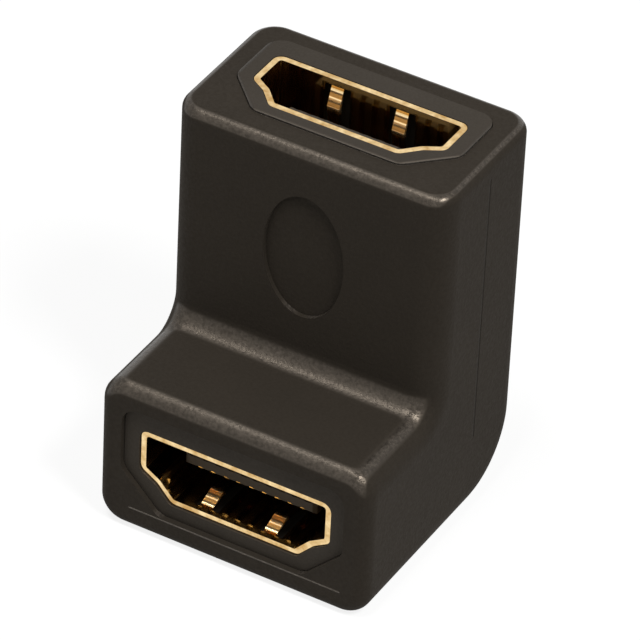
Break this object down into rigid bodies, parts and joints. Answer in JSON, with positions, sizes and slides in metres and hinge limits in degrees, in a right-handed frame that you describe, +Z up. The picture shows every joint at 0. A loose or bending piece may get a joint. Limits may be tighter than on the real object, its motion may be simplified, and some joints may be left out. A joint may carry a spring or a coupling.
{
  "type": "right angle hdmi adapter",
  "caption": "Compact L-shaped coupler with two female D-shaped multi-contact sockets at a right angle, one facing front and one facing up.",
  "frame": {"origin": "centre of the foot's box, on the surface that the part stands on", "axes": "+Z up, out of the top socket; -Y out of the front socket; +X along the width of both sockets"},
  "size_m": [0.021, 0.0206, 0.0297],
  "materials": {
    "housing": "fine matte texture, near black",
    "mould": "smooth satin, very dark grey",
    "board": "green solder mask",
    "shell": "polished gold plating",
    "insulator": "black moulded plastic",
    "contact": "gold plating"
  },
  "bodies": {
    "root": {"outer_housing": "housing", "inner_mould": "mould", "circuit_board": "board", "front_shell": "shell", "top_shell": "shell", "front_insulator": "insulator", "top_insulator": "insulator", "front_contact_01": "contact", "front_contact_02": "contact", "front_contact_03": "contact", "front_contact_04": "contact", "front_contact_05": "contact", "front_contact_06": "contact", "front_contact_07": "contact", "front_contact_08": "contact", "front_contact_09": "contact", "front_contact_10": "contact", "front_contact_11": "contact", "front_contact_12": "contact", "front_contact_13": "contact", "front_contact_14": "contact", "front_contact_15": "contact", "front_contact_16": "contact", "front_contact_17": "contact", "front_contact_18": "contact", "front_contact_19": "contact", "top_contact_01": "contact", "top_contact_02": "contact", "top_contact_03": "contact", "top_contact_04": "contact", "top_contact_05": "contact", "top_contact_06": "contact", "top_contact_07": "contact", "top_contact_08": "contact", "top_contact_09": "contact", "top_contact_10": "contact", "top_contact_11": "contact", "top_contact_12": "contact", "top_contact_13": "contact", "top_contact_14": "contact", "top_contact_15": "contact", "top_contact_16": "contact", "top_contact_17": "contact", "top_contact_18": "contact", "top_contact_19": "contact"}
  },
  "joints": []
}
